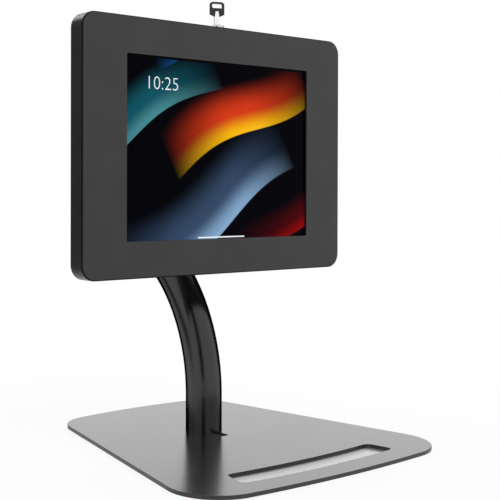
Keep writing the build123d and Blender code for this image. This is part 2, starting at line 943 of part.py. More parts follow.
def make_lock_cam():
    tip_centre = cam_reach - cam_lobe_width / 2
    outline = Circle(cam_hub_radius) + Pos(0, tip_centre) * Circle(cam_lobe_width / 2)
    outline += Pos(0, tip_centre / 2) * Rectangle(cam_lobe_width, tip_centre)
    square = plug_square + 2 * screw_clearance
    outline -= Rectangle(square, square)
    return Pos(0, lock_y, cam_bottom) * extrude(outline, cam_thickness)


def make_cam_screw():
    seat = Vector(0, lock_y, cam_bottom)
    return socket_screw(seat, up, cam_screw_radius, cam_screw_length, cam_screw_head_radius,
                        cam_screw_head_height, small_screw_socket, small_screw_socket_depth)


# Key

def key_plate(outline, thickness):
    plane = Plane(origin=(0, lock_y + thickness / 2, key_neck_top), x_dir=(1, 0, 0), z_dir=(0, -1, 0))
    return extrude(plane * outline, thickness)


def wedge_outline():
    bottom = key_wedge_bottom_width / 2
    top = key_wedge_top_width / 2
    return make_face(Polyline(
        (-bottom, 0),
        (bottom, 0),
        (top, key_wedge_height),
        (-top, key_wedge_height),
        close=True,
    ))


def make_key_blade():
    half = blade_thickness / 2
    blade = box_between(
        (-blade_width / 2, lock_y - half, lock_face - blade_length),
        (blade_width / 2, lock_y + half, lock_face),
    )
    blade += box_between(
        (-key_neck_width / 2, lock_y - half, lock_face),
        (key_neck_width / 2, lock_y + half, key_neck_top),
    )
    blade += key_plate(wedge_outline(), blade_thickness)
    bit_step = blade_length / (bit_count + 1)
    for index in range(bit_count):
        side = sides[index % 2]
        notch = Rot(0, 45, 0) * Box(bit_depth * sqrt(2), blade_thickness + cut_overrun, bit_depth * sqrt(2))
        blade -= Pos(side * blade_width / 2, lock_y, lock_face - (index + 1) * bit_step) * notch
    return blade


def make_key_bow():
    half = bow_width / 2
    mouth = key_wedge_bottom_width / 2
    outline = make_face(Polyline(
        (-mouth, 0),
        (mouth, 0),
        (half, bow_slant_height),
        (half, bow_height),
        (-half, bow_height),
        (-half, bow_slant_height),
        close=True,
    ))
    outline = fillet(outline.vertices().group_by(Axis.Y)[-1], bow_corner_radius)
    bow = key_plate(outline, bow_thickness)
    rims = bow.edges().group_by(Axis.Y)
    bow = fillet(rims[0] + rims[-1], bow_edge_radius)
    hole = RectangleRounded(bow_hole_width, bow_hole_height, bow_hole_corner_radius)
    hole_z = bow_height - bow_hole_drop - bow_hole_height / 2
    bow -= key_plate(Pos(0, hole_z) * hole, bow_thickness + 2 * cut_overrun)
    return bow - key_plate(wedge_outline(), bow_thickness + 2 * cut_overrun)


pieces = {
    "base_plate": make_base_plate(),
    "base_feet": make_base_feet(),
    "arm_tube": make_arm_tube(),
    "foot_plug": make_foot_plug(),
    "foot_screws": make_foot_screws(),
    "arm_head": make_arm_head(),
    "tilt_bolt": make_tilt_bolt(),
    "tilt_nut": make_tilt_nut(),
    "tilt_washers": make_tilt_washers(),
    "tilt_bracket": make_tilt_bracket(),
    "bracket_screws": make_bracket_screws(),
    "weld_nuts": make_weld_nuts(),
    "rear_tray": make_rear_tray(),
    "cable_grommet": make_cable_grommet(),
    "lock_catch": make_lock_catch(),
    "catch_screw": make_catch_screw(),
    "hinge_leaf": make_hinge_leaf(),
    "leaf_screws": make_leaf_screws(),
    "hinge_pin": make_hinge_pin(),
    "front_cover": make_front_cover(),
    "window_gasket": make_window_gasket(),
    "corner_brackets": make_corner_brackets(),
    "corner_screws": make_corner_screws(),
    "tablet_bumpers": make_tablet_bumpers(),
    "tablet_body": make_tablet_body(),
    "tablet_glass": make_tablet_glass(),
    "display_panel": make_display_panel(),
    "battery_cells": make_battery_cells(),
    "logic_board": make_logic_board(),
    "power_button": power_button_solid(0),
    "volume_up_button": volume_button_solid(volume_up_x, 0),
    "volume_down_button": volume_button_solid(volume_down_x, 0),
    "home_button": make_home_button(),
    "lock_barrel": make_lock_barrel(),
    "lock_nut": make_lock_nut(),
    "lock_plug": make_lock_plug(),
    "lock_cam": make_lock_cam(),
    "cam_screw": make_cam_screw(),
    "key_blade": turned_in_lock(make_key_blade()),
    "key_bow": turned_in_lock(make_key_bow()),
}

os.makedirs("parts", exist_ok=True)
for name, solid in pieces.items():
    export_step(solid, f"parts/{name}.step")

print("tilt axis", tilt_y, tilt_z)
print("hinge axis", hinge_y, hinge_z)
print("lock axis", lock_y, "lock face", lock_face)
print("enclosure from", shell_front, "to", shell_back)
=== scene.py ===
import json
import math

import bmesh
import bpy
from mathutils import Matrix, Vector


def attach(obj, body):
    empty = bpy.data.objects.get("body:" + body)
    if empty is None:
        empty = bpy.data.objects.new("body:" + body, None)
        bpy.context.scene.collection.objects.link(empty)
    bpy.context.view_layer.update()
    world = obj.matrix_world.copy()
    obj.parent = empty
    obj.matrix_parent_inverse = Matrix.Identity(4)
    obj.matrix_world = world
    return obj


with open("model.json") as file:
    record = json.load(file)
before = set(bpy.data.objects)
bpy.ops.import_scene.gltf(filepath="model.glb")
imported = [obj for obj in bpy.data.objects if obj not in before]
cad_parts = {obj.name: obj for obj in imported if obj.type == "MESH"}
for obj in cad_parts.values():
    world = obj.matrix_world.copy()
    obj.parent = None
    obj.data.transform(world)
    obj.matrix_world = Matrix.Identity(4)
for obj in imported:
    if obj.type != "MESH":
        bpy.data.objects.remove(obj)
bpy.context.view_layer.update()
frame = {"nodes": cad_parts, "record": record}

scene = bpy.context.scene
nodes = frame["nodes"]
mm = 0.001


# how shader colours follow from screen values
screenCurve = {"whole": 255, "knee": 0.04045, "slope": 12.92, "lift": 0.055, "power": 2.4}


def paint(red, green, blue):
    # screen values 0 to 255 as a shader colour
    def linear(value):
        value = value / screenCurve["whole"]
        if value <= screenCurve["knee"]:
            return value / screenCurve["slope"]
        return ((value + screenCurve["lift"]) / (1 + screenCurve["lift"])) ** screenCurve["power"]
    return (linear(red), linear(green), linear(blue), 1)


# shader node helpers

patterns = {
    "range": (0.3, 0.7),   # nearly all of a noise lies between these
    "cloudDetail": 3, "grainDetail": 2, "waveDetail": 1,
    "grainShare": 0.5,     # how much of the uneven gloss follows the grain, the rest the clouds
}


def startMaterial(name):
    material = bpy.data.materials.new(name)
    material.use_nodes = True
    material.node_tree.nodes.clear()
    return material, material.node_tree


def addNode(tree, kind, **settings):
    node = tree.nodes.new(kind)
    for key, value in settings.items():
        setattr(node, key, value)
    return node


def showSurface(tree, shader, kind="ShaderNodeOutputMaterial"):
    output = addNode(tree, kind)
    tree.links.new(shader, output.inputs["Surface"])


def objectPoint(tree, scale=(1, 1, 1)):
    coordinates = addNode(tree, "ShaderNodeTexCoord")
    mapping = addNode(tree, "ShaderNodeMapping")
    mapping.inputs["Scale"].default_value = scale
    tree.links.new(coordinates.outputs["Object"], mapping.inputs["Vector"])
    return mapping.outputs["Vector"]


def axes(tree, point):
    parts = addNode(tree, "ShaderNodeSeparateXYZ")
    tree.links.new(point, parts.inputs["Vector"])
    return parts.outputs


def noise(tree, point, size, detail):
    # size is one lump of the pattern in metres
    texture = addNode(tree, "ShaderNodeTexNoise")
    texture.inputs["Scale"].default_value = 1 / size
    texture.inputs["Detail"].default_value = detail
    tree.links.new(point, texture.inputs["Vector"])
    return texture.outputs["Fac"]


def ramp(tree, factor, stops, interpolation="LINEAR"):
    node = addNode(tree, "ShaderNodeValToRGB")
    node.color_ramp.interpolation = interpolation
    elements = node.color_ramp.elements
    elements[0].position, elements[0].color = stops[0]
    elements[1].position, elements[1].color = stops[-1]
    for position, colour in stops[1:-1]:
        elements.new(position).color = colour
    tree.links.new(factor, node.inputs["Fac"])
    return node.outputs["Color"]


def shades(tree, clouds, colours):
    low, high = patterns["range"]
    dark, light = colours
    return ramp(tree, clouds, [(low, dark), (high, light)])


def remap(tree, value, source, target):
    node = addNode(tree, "ShaderNodeMapRange")
    for name, number in zip(("From Min", "From Max", "To Min", "To Max"), (*source, *target)):
        node.inputs[name].default_value = number
    tree.links.new(value, node.inputs["Value"])
    return node.outputs["Result"]


def spread(tree, pattern, limits):
    return remap(tree, pattern, patterns["range"], limits)


def bump(tree, height, strength, depth, after=None):
    node = addNode(tree, "ShaderNodeBump")
    node.inputs["Strength"].default_value = strength
    node.inputs["Distance"].default_value = depth
    tree.links.new(height, node.inputs["Height"])
    if after is not None:
        tree.links.new(after, node.inputs["Normal"])
    return node.outputs["Normal"]


def maths(tree, operation, first, second=None, third=None, clamp=False):
    node = addNode(tree, "ShaderNodeMath", operation=operation, use_clamp=clamp)
    for socket, value in zip(node.inputs, (first, second, third)):
        if value is None:
            continue
        if isinstance(value, (int, float)):
            socket.default_value = value
        else:
            tree.links.new(value, socket)
    return node.outputs["Value"]


def fade(tree, value, span):
    # 0 at the first number of the span, 1 at the last
    first, last = span
    slope = 1 / (last - first)
    return maths(tree, "MULTIPLY_ADD", value, slope, -first * slope, clamp=True)


def mixShaders(tree, share, first, second):
    # share 0 shows the first, 1 the second
    both = addNode(tree, "ShaderNodeMixShader")
    tree.links.new(share, both.inputs["Fac"])
    tree.links.new(first, both.inputs[1])
    tree.links.new(second, both.inputs[2])
    return both.outputs["Shader"]


def mixColours(tree, blend, first, second):
    # the colour sockets of this node are its inputs 6 and 7 and its output 2
    node = addNode(tree, "ShaderNodeMix", data_type="RGBA", blend_type=blend)
    node.inputs["Factor"].default_value = 1
    for socket, value in ((6, first), (7, second)):
        if isinstance(value, tuple):
            node.inputs[socket].default_value = value
        else:
            tree.links.new(value, node.inputs[socket])
    return node.outputs[2]


# finishes

# what a finish is unless its recipe says otherwise
plainFinish = {
    "stretch": (1, 1, 1), "metallic": 0, "ior": 1.5, "specular": 0.5, "coat": 0, "coatRoughness": 0.05,
}


def finishShader(tree, recipe):
    # clouded colour, uneven gloss, and grain at the size of the real one
    recipe = {**plainFinish, **recipe}
    shader = addNode(tree, "ShaderNodeBsdfPrincipled")
    plain = objectPoint(tree)
    drawn = objectPoint(tree, recipe["stretch"])
    clouds = noise(tree, plain, recipe["cloud"], patterns["cloudDetail"])
    fine = noise(tree, drawn, recipe["grain"], patterns["grainDetail"])
    tree.links.new(shades(tree, clouds, recipe["colours"]), shader.inputs["Base Color"])
    share = patterns["grainShare"]
    mixed = maths(tree, "MULTIPLY_ADD", fine, share, maths(tree, "MULTIPLY", clouds, 1 - share))
    tree.links.new(spread(tree, mixed, recipe["roughness"]), shader.inputs["Roughness"])
    normal = bump(tree, fine, recipe["bumpStrength"], recipe["bumpDepth"])
    if "wave" in recipe:
        waves = noise(tree, plain, recipe["wave"], patterns["waveDetail"])
        normal = bump(tree, waves, recipe["waveStrength"], recipe["waveDepth"], normal)
    tree.links.new(normal, shader.inputs["Normal"])
    shader.inputs["Metallic"].default_value = recipe["metallic"]
    shader.inputs["IOR"].default_value = recipe["ior"]
    shader.inputs["Specular IOR Level"].default_value = recipe["specular"]
    if "dullRim" in recipe:
        # the gloss dies away where the surface turns out of sight
        facing = addNode(tree, "ShaderNodeLayerWeight")
        level = remap(tree, facing.outputs["Facing"], recipe["dullRim"], (recipe["specular"], 0))
        tree.links.new(level, shader.inputs["Specular IOR Level"])
    shader.inputs["Coat Weight"].default_value = recipe["coat"]
    shader.inputs["Coat Roughness"].default_value = recipe["coatRoughness"]
    return shader.outputs["BSDF"]


# where one finish gives way to the next: 1 faces along the axis, 0 faces across it
slopes = {
    "flat": (0.6, 0.9333),           # sides to flat face, along flatAxis
    "pastSide": (0.075, 0.2),        # the rounded edge begins
    "beforeFace": (0.975, 0.8917),   # and ends
    "upright": (0.1875, 0.8125),     # a wall that faces up or down
}


def turnedTo(tree, axis):
    # 1 where the surface faces along the axis of its piece, 0 across it
    point = addNode(tree, "ShaderNodeTexCoord")
    return maths(tree, "ABSOLUTE", axes(tree, point.outputs["Normal"])[axis])


def turnedUpOutside(tree, reach):
    # 1 where a wall turns up or down near the ends, from the first to the last distance off the middle
    upright = fade(tree, turnedTo(tree, "Z"), slopes["upright"])
    offMiddle = maths(tree, "ABSOLUTE", axes(tree, objectPoint(tree))["X"])
    return maths(tree, "MULTIPLY", upright, fade(tree, offMiddle, reach))


def otherFinish(tree, recipe, part):
    return finishShader(tree, {**recipe, **recipe[part]})


def finishBySlope(tree, recipe, flatFinish):
    # narrow sides and their ends take other finishes than the flat faces, and the rounded edges a darker
    # colour, a painted dark reflection
    facing = turnedTo(tree, recipe["flatAxis"])
    side = otherFinish(tree, recipe, "sides")
    if "ends" in recipe:
        outside = turnedUpOutside(tree, recipe["endsFrom"])
        side = mixShaders(tree, outside, side, otherFinish(tree, recipe, "ends"))
    whole = mixShaders(tree, fade(tree, facing, slopes["flat"]), side, flatFinish)
    # the rounded edges get a darker colour, a painted dark reflection rather than the paint's own colour
    if "edges" in recipe:
        pastSide = fade(tree, facing, slopes["pastSide"])
        beforeFace = fade(tree, facing, slopes["beforeFace"])
        rounded = maths(tree, "MULTIPLY", pastSide, beforeFace)
        whole = mixShaders(tree, rounded, whole, otherFinish(tree, recipe, "edges"))
    return whole


def surface(name, recipe):
    material, tree = startMaterial(name)
    whole = finishShader(tree, recipe)
    if "flatAxis" in recipe:
        whole = finishBySlope(tree, recipe, whole)
    showSurface(tree, whole)
    return material


# colours are two shades, lengths such as cloud, grain and bumpDepth are in metres
finishes = {
    "base_paint": {"colours": (paint(8, 8, 9), paint(13, 13, 14)), "cloud": 60 * mm, "grain": 0.5 * mm,
                   "roughness": (0.21, 0.26), "bumpStrength": 0.05, "bumpDepth": 0.02 * mm,
                   "ior": 2.1, "coat": 0.7, "coatRoughness": 0.2,
                   "flatAxis": "Z", "sides": {"ior": 1.62, "coat": 0, "roughness": (0.3, 0.4)}},
    "arm_paint": {"colours": (paint(7, 7, 8), paint(11, 11, 12)), "cloud": 40 * mm, "grain": 0.5 * mm,
                  "roughness": (0.20, 0.27), "bumpStrength": 0.05, "bumpDepth": 0.02 * mm,
                  "ior": 1.6, "dullRim": (0.36, 0.58)},
    "case_paint": {"colours": (paint(53, 53, 54), paint(58, 58, 59)), "cloud": 35 * mm,
                   "grain": 0.55 * mm, "roughness": (0.40, 0.50), "bumpStrength": 0.22,
                   "bumpDepth": 0.03 * mm, "specular": 0.25, "wave": 3 * mm, "waveStrength": 0.05,
                   "waveDepth": 0.04 * mm, "flatAxis": "Y", "sides": {"specular": 0.06},
                   "ends": {"specular": 0.42, "roughness": (0.28, 0.36)}, "endsFrom": (0.106, 0.138),
                   # rounded edges: darker colour and little gloss, a painted dark reflection along the
                   # outline of the face
                   "edges": {"colours": (paint(18, 18, 19), paint(24, 24, 25)), "specular": 0.06}},
    "dark_steel": {"colours": (paint(30, 31, 34), paint(44, 44, 47)), "cloud": 2 * mm, "grain": 0.3 * mm,
                   "roughness": (0.26, 0.42), "bumpStrength": 0.12, "bumpDepth": 0.02 * mm,
                   "metallic": 0.85},
    "bright_steel": {"colours": (paint(168, 170, 173), paint(190, 191, 192)), "cloud": 4 * mm,
                     "grain": 0.35 * mm, "roughness": (0.22, 0.36), "bumpStrength": 0.14,
                     "bumpDepth": 0.02 * mm, "metallic": 1, "stretch": (1, 1, 6)},
    "lock_chrome": {"colours": (paint(205, 207, 210), paint(216, 218, 220)), "cloud": 5 * mm,
                    "grain": 0.4 * mm, "roughness": (0.06, 0.11), "bumpStrength": 0.04,
                    "bumpDepth": 0.01 * mm, "metallic": 1},
    "key_steel": {"colours": (paint(240, 241, 242), paint(250, 250, 250)), "cloud": 2 * mm,
                  "grain": 0.25 * mm, "roughness": (0.18, 0.30), "bumpStrength": 0.12,
                  "bumpDepth": 0.01 * mm, "metallic": 1, "stretch": (3, 3, 0.4)},
    "key_plastic": {"colours": (paint(15, 15, 16), paint(23, 23, 24)), "cloud": 3 * mm, "grain": 0.3 * mm,
                    "roughness": (0.36, 0.5), "bumpStrength": 0.2, "bumpDepth": 0.03 * mm},
    "foot_rubber": {"colours": (paint(22, 22, 22), paint(34, 33, 33)), "cloud": 3 * mm,
                    "grain": 0.25 * mm, "roughness": (0.72, 0.85), "bumpStrength": 0.35,
                    "bumpDepth": 0.04 * mm},
    "case_rubber": {"colours": (paint(20, 20, 21), paint(30, 30, 31)), "cloud": 4 * mm,
                    "grain": 0.25 * mm, "roughness": (0.62, 0.78), "bumpStrength": 0.3,
                    "bumpDepth": 0.04 * mm},
    "holder_plastic": {"colours": (paint(36, 37, 40), paint(46, 47, 50)), "cloud": 6 * mm,
                       "grain": 0.3 * mm, "roughness": (0.45, 0.58), "bumpStrength": 0.25,
                       "bumpDepth": 0.04 * mm},
    "tablet_shell": {"colours": (paint(120, 122, 126), paint(130, 132, 136)), "cloud": 30 * mm,
                     "grain": 0.12 * mm, "roughness": (0.34, 0.42), "bumpStrength": 0.18,
                     "bumpDepth": 0.01 * mm, "metallic": 0.9},
    "button_metal": {"colours": (paint(132, 134, 138), paint(144, 146, 150)), "cloud": 5 * mm,
                     "grain": 0.12 * mm, "roughness": (0.26, 0.36), "bumpStrength": 0.12,
                     "bumpDepth": 0.01 * mm, "metallic": 1, "stretch": (0.3, 1, 1)},
    "battery_wrap": {"colours": (paint(28, 30, 34), paint(38, 40, 46)), "cloud": 20 * mm,
                     "grain": 1.2 * mm, "roughness": (0.3, 0.45), "bumpStrength": 0.3,
                     "bumpDepth": 0.1 * mm},
    "circuit_board": {"colours": (paint(10, 62, 40), paint(18, 92, 58)), "cloud": 4 * mm,
                      "grain": 0.8 * mm, "roughness": (0.32, 0.5), "bumpStrength": 0.4,
                      "bumpDepth": 0.1 * mm},
    "home_plastic": {"colours": (paint(14, 14, 15), paint(20, 20, 21)), "cloud": 6 * mm,
                     "grain": 0.3 * mm, "roughness": (0.12, 0.2), "bumpStrength": 0.05,
                     "bumpDepth": 0.01 * mm},
}
materials = {slot: surface(slot, recipe) for slot, recipe in finishes.items()}
print("finishes made", len(materials))


# tablet: glass with a black printed border, and the lit picture just in front of it

tabletLook = {
    "middle": (0.0, 0.2611),         # across, up
    "clearHalf": (0.1030, 0.0770),   # half the clear part of the glass, all of it behind the picture
    "clearColour": (0.97, 0.98, 0.98, 1), "clearRoughness": 0.03,
    "borderColours": (paint(8, 8, 9), paint(12, 12, 13)), "borderRoughness": (0.05, 0.09),
    "borderCloud": 30 * mm, "borderDetail": 2,
    "pictureHalf": (0.1047, 0.0787), "pictureCorner": 0.4 * mm, "pictureRoughness": 0.05,
    "ground": paint(2, 2, 6),
    "coatedIor": 1.08,               # the glass is coated against glare
    "lift": 0.06 * mm,               # from the glass to the picture, and from there to the clock
}


def acrossAndUp(tree):
    place = axes(tree, objectPoint(tree))
    across = maths(tree, "SUBTRACT", place["X"], tabletLook["middle"][0])
    up = maths(tree, "SUBTRACT", place["Z"], tabletLook["middle"][1])
    return across, up


def insideRectangle(tree, across, up, half):
    # 1 inside, 0 outside
    wide = maths(tree, "LESS_THAN", maths(tree, "ABSOLUTE", across), half[0])
    high = maths(tree, "LESS_THAN", maths(tree, "ABSOLUTE", up), half[1])
    return maths(tree, "MULTIPLY", wide, high)


def glassMaterial():
    material, tree = startMaterial("tablet_glass")
    clear = addNode(tree, "ShaderNodeBsdfTransparent")
    clear.inputs["Color"].default_value = tabletLook["clearColour"]
    gloss = addNode(tree, "ShaderNodeBsdfGlossy")
    gloss.inputs["Roughness"].default_value = tabletLook["clearRoughness"]
    fresnel = addNode(tree, "ShaderNodeFresnel")
    fresnel.inputs["IOR"].default_value = tabletLook["coatedIor"]
    pane = mixShaders(tree, fresnel.outputs["Fac"], clear.outputs["BSDF"], gloss.outputs["BSDF"])
    printed = addNode(tree, "ShaderNodeBsdfPrincipled")
    printed.inputs["IOR"].default_value = tabletLook["coatedIor"]
    clouds = noise(tree, objectPoint(tree), tabletLook["borderCloud"], tabletLook["borderDetail"])
    tree.links.new(shades(tree, clouds, tabletLook["borderColours"]), printed.inputs["Base Color"])
    tree.links.new(spread(tree, clouds, tabletLook["borderRoughness"]), printed.inputs["Roughness"])
    across, up = acrossAndUp(tree)
    inside = insideRectangle(tree, across, up, tabletLook["clearHalf"])
    showSurface(tree, mixShaders(tree, inside, printed.outputs["BSDF"], pane))
    return material


# soft ribbons of light on the screen: one crisp edge, the other side fades out

ribbonLook = {
    "slope": 28,                     # degrees up to the right
    "unit": 0.1,                     # metres, for every length of a ribbon
    "crisp": 0.022, "core": 0.42,    # shares of the fade
    "endSlope": 1.3, "endRound": 0.25,
}
# place is how far the edge lies over the middle, start and turns are those of its wave
ribbons = [
    {"place": -0.62, "swing": 0.10, "turns": 2.6, "start": 0.4, "fade": 0.62,
     "edge": paint(134, 170, 206), "middle": paint(54, 74, 102), "ends": (-1.5, 0.75)},
    {"place": -0.02, "swing": 0.09, "turns": 2.9, "start": 1.7, "fade": 0.50,
     "edge": paint(255, 190, 10), "middle": paint(214, 58, 20), "ends": (-0.55, 1.25)},
    {"place": 0.52, "swing": 0.08, "turns": 3.1, "start": 2.6, "fade": 0.42,
     "edge": paint(70, 138, 146), "middle": paint(14, 84, 98), "ends": (-1.5, 0.3)},
    {"place": -1.04, "swing": 0.07, "turns": 2.7, "start": 3.0, "fade": 0.34,
     "edge": paint(140, 4, 6), "middle": paint(70, 2, 6), "ends": (-0.2, 1.4)},
    {"place": 0.98, "swing": 0.06, "turns": 3.3, "start": 5.2, "fade": 0.34,
     "edge": paint(10, 104, 200), "middle": paint(6, 50, 104), "ends": (-0.3, 1.6)},
]


def ribbonColour(tree, across, up, ribbon):
    angle = math.radians(ribbonLook["slope"])
    cosine = math.cos(angle) / ribbonLook["unit"]
    sine = math.sin(angle) / ribbonLook["unit"]
    along = maths(tree, "MULTIPLY_ADD", across, cosine, maths(tree, "MULTIPLY", up, sine))
    over = maths(tree, "MULTIPLY_ADD", across, -sine, maths(tree, "MULTIPLY", up, cosine))
    wave = maths(tree, "SINE", maths(tree, "MULTIPLY_ADD", along, ribbon["turns"], ribbon["start"]))
    edge = maths(tree, "MULTIPLY_ADD", wave, ribbon["swing"], ribbon["place"])
    depth = maths(tree, "DIVIDE", maths(tree, "SUBTRACT", over, edge), ribbon["fade"], clamp=True)
    black = (0, 0, 0, 1)
    lights = [(ribbonLook["crisp"], ribbon["edge"]), (ribbonLook["core"], ribbon["middle"])]
    body = ramp(tree, depth, [(0, black), *lights, (1, black)], "EASE")
    left, right = ribbon["ends"]
    endSlope = ribbonLook["endSlope"]
    fromLeft = maths(tree, "MULTIPLY", maths(tree, "SUBTRACT", along, left), endSlope, clamp=True)
    fromRight = maths(tree, "MULTIPLY", maths(tree, "SUBTRACT", right, along), endSlope, clamp=True)
    rise = maths(tree, "SMOOTH_MIN", fromLeft, fromRight, ribbonLook["endRound"])
    return mixColours(tree, "MULTIPLY", body, maths(tree, "MAXIMUM", rise, 0))


def pictureMaterial():
    material, tree = startMaterial("screen_picture")
    light = addNode(tree, "ShaderNodeBsdfPrincipled")
    light.inputs["Base Color"].default_value = (0, 0, 0, 1)
    light.inputs["Roughness"].default_value = tabletLook["pictureRoughness"]
    light.inputs["IOR"].default_value = tabletLook["coatedIor"]
    light.inputs["Emission Strength"].default_value = 1
    across, up = acrossAndUp(tree)
    total = mixColours(tree, "ADD", tabletLook["ground"], ribbonColour(tree, across, up, ribbons[0]))
    for ribbon in ribbons[1:]:
        total = mixColours(tree, "SCREEN", total, ribbonColour(tree, across, up, ribbon))
    tree.links.new(total, light.inputs["Emission Color"])
    showSurface(tree, light.outputs["BSDF"])
    return material


materials["tablet_glass"] = glassMaterial()
materials["screen"] = surface("screen", {
    "colours": (paint(5, 5, 6), paint(9, 9, 10)), "cloud": 25 * mm, "grain": 0.3 * mm,
    "roughness": (0.2, 0.3), "bumpStrength": 0.04, "bumpDepth": 0.01 * mm, "ior": tabletLook["coatedIor"]})
materials["screen_picture"] = pictureMaterial()


def slotOfNodes():
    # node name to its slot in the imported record
    return {part["node"]: part["material_slot"] for part in frame["record"]["subparts"]}


def dressNodes():
    slots = slotOfNodes()
    for name, thing in nodes.items():
        material = materials[slots[name]]
        if not thing.material_slots:
            thing.data.materials.append(material)
        for place in thing.material_slots:
            place.material = material


dressNodes()
print("nodes dressed", len(nodes))


def placeMesh(name, mesh, material):
    # the finished mesh as an object in the scene
    data = bpy.data.meshes.new(name)
    mesh.to_mesh(data)
    mesh.free()
    data.materials.append(material)
    thing = bpy.data.objects.new(name, data)
    scene.collection.objects.link(thing)
    return thing


# picture, clock and bar on the screen

clockLook = {
    "words": "10:25", "height": 0.0118, "middle": (-0.066, 0.318),
    "heightShare": 0.72,             # height of the digits as a share of the text's size
    "thinner": -0.28 * mm,           # thin strokes
    "barHalf": (0.0272, 0.0006), "barMiddle": (0.0006, 0.1838), "barCorner": 0.57 * mm,
    "whites": (paint(232, 236, 240), paint(248, 250, 252)), "cloud": 12 * mm, "detail": 1,
}
cornerLook = {"segments": 8, "profile": 0.5}   # round corners of the flat pieces
glassFront = min(corner[1] for corner in nodes["tablet_glass"].bound_box)
pictureFront = glassFront - tabletLook["lift"]
clockFront = pictureFront - tabletLook["lift"]


def lampMaterial():
    material, tree = startMaterial("screen_white")
    light = addNode(tree, "ShaderNodeEmission")
    clouds = noise(tree, objectPoint(tree), clockLook["cloud"], clockLook["detail"])
    tree.links.new(shades(tree, clouds, clockLook["whites"]), light.inputs["Color"])
    showSurface(tree, light.outputs["Emission"])
    return material


def makeClock():
    curve = bpy.data.curves.new("clockText", "FONT")
    curve.body = clockLook["words"]
    curve.size = clockLook["height"] / clockLook["heightShare"]
    curve.align_x = "CENTER"
    curve.align_y = "CENTER"
    curve.offset = clockLook["thinner"]
    holder = bpy.data.objects.new("clockText", curve)
    scene.collection.objects.link(holder)
    bpy.context.view_layer.update()
    mesh = bpy.data.meshes.new_from_object(holder.evaluated_get(bpy.context.evaluated_depsgraph_get()))
    bpy.data.objects.remove(holder)
    place = Matrix.Translation((clockLook["middle"][0], clockFront, clockLook["middle"][1]))
    mesh.transform(place @ Matrix.Rotation(math.radians(90), 4, "X"))
    clock = bpy.data.objects.new("clockDigits", mesh)
    scene.collection.objects.link(clock)
    mesh.materials.clear()
    mesh.materials.append(materials["screen_white"])
    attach(clock, "enclosure")


def makePane(name, half, middle, front, corner, material):
    # a flat rounded rectangle that faces the front
    mesh = bmesh.new()
    bmesh.ops.create_grid(mesh, x_segments=1, y_segments=1, size=1)
    bmesh.ops.scale(mesh, vec=(half[0], half[1], 1), verts=mesh.verts)
    corners = list(mesh.verts)
    bmesh.ops.bevel(mesh, geom=corners, offset=corner, affect="VERTICES", material=-1, **cornerLook)
    upright = Matrix.Rotation(math.radians(90), 3, "X")
    bmesh.ops.rotate(mesh, cent=(0, 0, 0), matrix=upright, verts=mesh.verts)
    bmesh.ops.translate(mesh, vec=(middle[0], front, middle[1]), verts=mesh.verts)
    pane = placeMesh(name, mesh, materials[material])
    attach(pane, "enclosure")


materials["screen_white"] = lampMaterial()
makePane("screenPicture", tabletLook["pictureHalf"], tabletLook["middle"], pictureFront,
         tabletLook["pictureCorner"], "screen_picture")
makePane("screenBar", clockLook["barHalf"], clockLook["barMiddle"], clockFront,
         clockLook["barCorner"], "screen_white")
makeClock()
print("screen pieces made")


# floor, light and camera

studio = {
    "floorReach": 6.0, "floorGrey": (0.7, 0.7, 0.7, 1),
    # half the plate's depth, half its width at the middle, how that narrows towards the back,
    # and how square its corners are
    "plateShape": (0.1485, 0.1167, -0.184, 8.0),
    # how plain white the floor is: 1 is the plate's outline, 4 is four times as far out
    "floorWhite": [(0.0, 0.1), (0.91, 0.1), (0.96, 0.93), (2.0, 0.97), (3.6, 1.0)], "floorSpan": 4.0,
    # the room is darker on the left
    "skyStrength": 0.36, "skySlope": 0.20,
    "white": (1, 1, 1, 1),
    "lamps": [
        {"name": "keyLamp", "at": (0.75, -1.75, 1.50), "aim": (0, 0, 0.2), "size": 1.2, "power": 34},
        {"name": "rearLamp", "at": (1.3, 1.5, 1.4), "aim": (0, 0, 0.2), "size": 1.0, "power": 28},
        {"name": "rimLamp", "at": (-0.25, 1.6, 1.35), "aim": (-0.1, 0, 0.3), "size": 0.9, "power": 9,
         "glintOnly": True},
    ],
    # dark cards that only reflections see: degrees round from the front, low and high edge
    "cards": [
        {"name": "frontCard", "from": -52, "to": -30, "low": 0.0, "high": 1.6},
        {"name": "rightRearCard", "from": 82, "to": 112, "low": 0.0, "high": 1.6},
        {"name": "leftRearCard", "from": 166, "to": 214, "low": 0.0, "high": 1.6},
        {"name": "leftCard", "from": 214, "to": 262, "low": 0.0, "high": 0.32},
    ],
    "cardReach": 1.7, "cardSteps": 24, "cardGrey": (0.012, 0.012, 0.012, 1),
    "cameraAt": (-0.5848, -0.70157, 0.22564), "yaw": 37.724, "pitch": 0.395, "roll": 0.127,
    "focal": 1014.0, "middlePixel": (190.0, 197.7), "imageSize": 500, "sensor": 36, "clipStart": 0.01,
}


def plateOutlines(tree):
    # 1 on the outline of the plate, more outside it
    place = axes(tree, objectPoint(tree))
    depth, width, narrowing, square = studio["plateShape"]
    reach = maths(tree, "MULTIPLY_ADD", place["Y"], narrowing, width)
    across = maths(tree, "ABSOLUTE", maths(tree, "DIVIDE", place["X"], reach))
    along = maths(tree, "ABSOLUTE", maths(tree, "DIVIDE", place["Y"], depth))
    total = maths(tree, "ADD", maths(tree, "POWER", across, square), maths(tree, "POWER", along, square))
    return maths(tree, "POWER", total, 1 / square)


def seenPlainly(tree):
    # 1 for what is seen straight, in a reflection or through glass
    path = addNode(tree, "ShaderNodeLightPath")
    mirrored = maths(tree, "MAXIMUM", path.outputs["Is Glossy Ray"], path.outputs["Is Transmission Ray"])
    return maths(tree, "MAXIMUM", path.outputs["Is Camera Ray"], mirrored)


